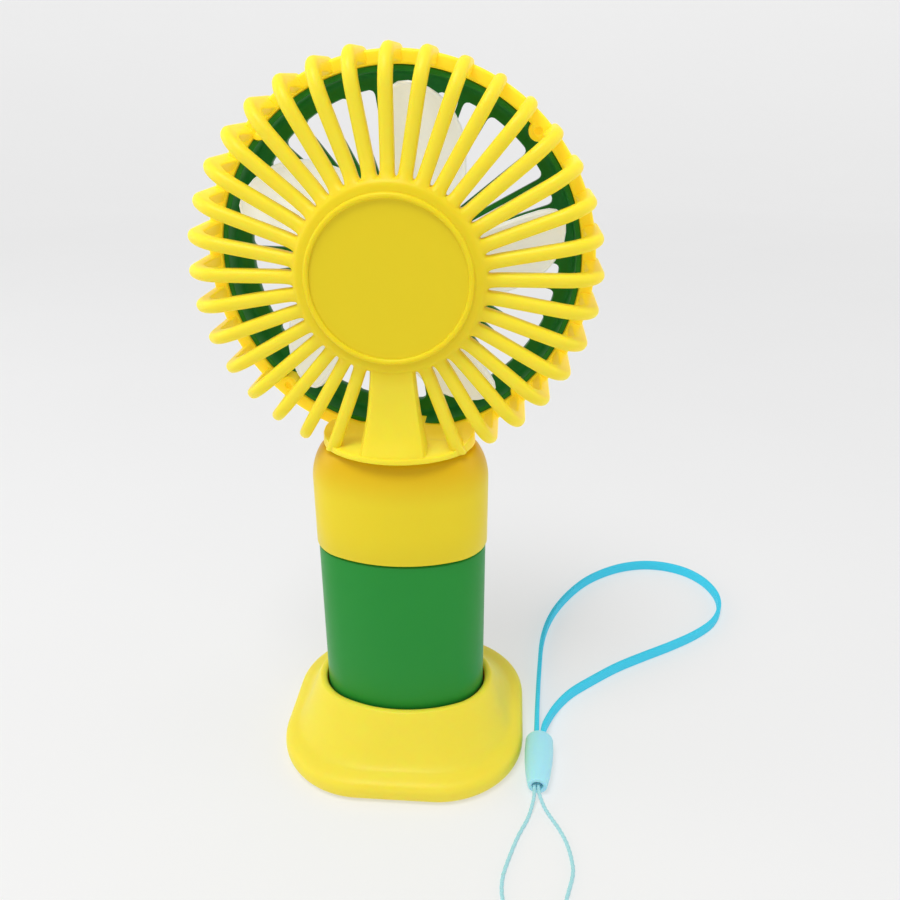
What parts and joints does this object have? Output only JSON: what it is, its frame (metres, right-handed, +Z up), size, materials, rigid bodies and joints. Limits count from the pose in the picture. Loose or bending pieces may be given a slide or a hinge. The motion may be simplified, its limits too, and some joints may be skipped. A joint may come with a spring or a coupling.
{
  "type": "handheld electric fan",
  "caption": "Handheld electric fan with a caged round head on an oval handle, standing in a square dock, with a loose wrist strap beside it.",
  "frame": {"origin": "centre of the dock's underside, on the surface that it stands on", "axes": "+Z up the handle; the fan blows towards -Y and its ribbed back faces +Y; +X to the left as seen from the back"},
  "size_m": [0.1488, 0.151, 0.1771],
  "materials": {
    "yellow_shell": "semi-gloss yellow ABS",
    "green_shell": "satin green ABS",
    "pale_plastic": "pale grey satin",
    "black_plastic": "matt black",
    "dock_yellow": "semi-gloss lemon yellow ABS",
    "steel": "bright steel",
    "magnet": "matt dark grey ferrite",
    "copper": "enamelled copper",
    "cell": "satin blue sleeve over the cell",
    "board": "green solder mask",
    "red_lead": "red PVC",
    "black_lead": "black PVC",
    "clear": "clear, slightly milky",
    "rubber": "pale grey rubber",
    "ribbon": "woven cyan polyester",
    "string": "braided pale cyan cord",
    "bead": "pale cyan plastic"
  },
  "bodies": {
    "dock": {"dock_base": "dock_yellow", "dock_cover": "dock_yellow", "dock_feet": "rubber", "dock_screws": "steel"},
    "handle": {"rear_grille": "yellow_shell", "rear_badge": "yellow_shell", "front_grille": "green_shell", "front_badge": "yellow_shell", "motor_can": "steel", "motor_end_cap": "black_plastic", "motor_magnets": "magnet", "motor_bushings": "copper", "motor_brushes": "copper", "motor_retainer": "pale_plastic", "retainer_screws": "steel", "motor_lead_red": "red_lead", "motor_lead_black": "black_lead", "upper_shell": "yellow_shell", "barrel": "green_shell", "end_cap": "green_shell", "end_cap_screws": "steel", "chassis": "pale_plastic", "neck_screws": "steel", "battery_cell": "cell", "battery_tabs": "steel", "battery_lead_red": "red_lead", "battery_lead_black": "black_lead", "circuit_board": "board", "board_chips": "black_plastic", "board_screws": "steel", "indicator_leds": "clear", "light_pipe": "clear", "power_switch": "black_plastic", "usb_shell": "steel", "usb_tongue": "black_plastic"},
    "rotor": {"impeller": "pale_plastic", "motor_shaft": "steel", "armature_core": "steel", "armature_windings": "copper", "commutator": "copper"},
    "button": {"button_cap": "yellow_shell", "switch_plunger": "pale_plastic"},
    "strap": {"strap_bead": "bead", "strap_ribbon": "ribbon", "strap_string": "string"}
  },
  "joints": [
    {"name": "handle_lift", "type": "slide", "parent": "dock", "child": "handle", "axis": [0, 0, 1], "range_m": [0, 0.05]},
    {"name": "rotor_spin", "type": "hinge", "parent": "handle", "child": "rotor", "pos_m": [0, 0, 0.1304], "axis": [0, 1, 0], "continuous": true},
    {"name": "button_press", "type": "slide", "parent": "handle", "child": "button", "axis": [0, 1, 0], "range_m": [0, 0.0006], "stiffness_N_per_m": 1500, "springref_m": -0.0002},
    {"name": "strap_lift", "type": "slide", "parent": "dock", "child": "strap", "axis": [0, 0, 1], "range_m": [0, 0.03]}
  ]
}
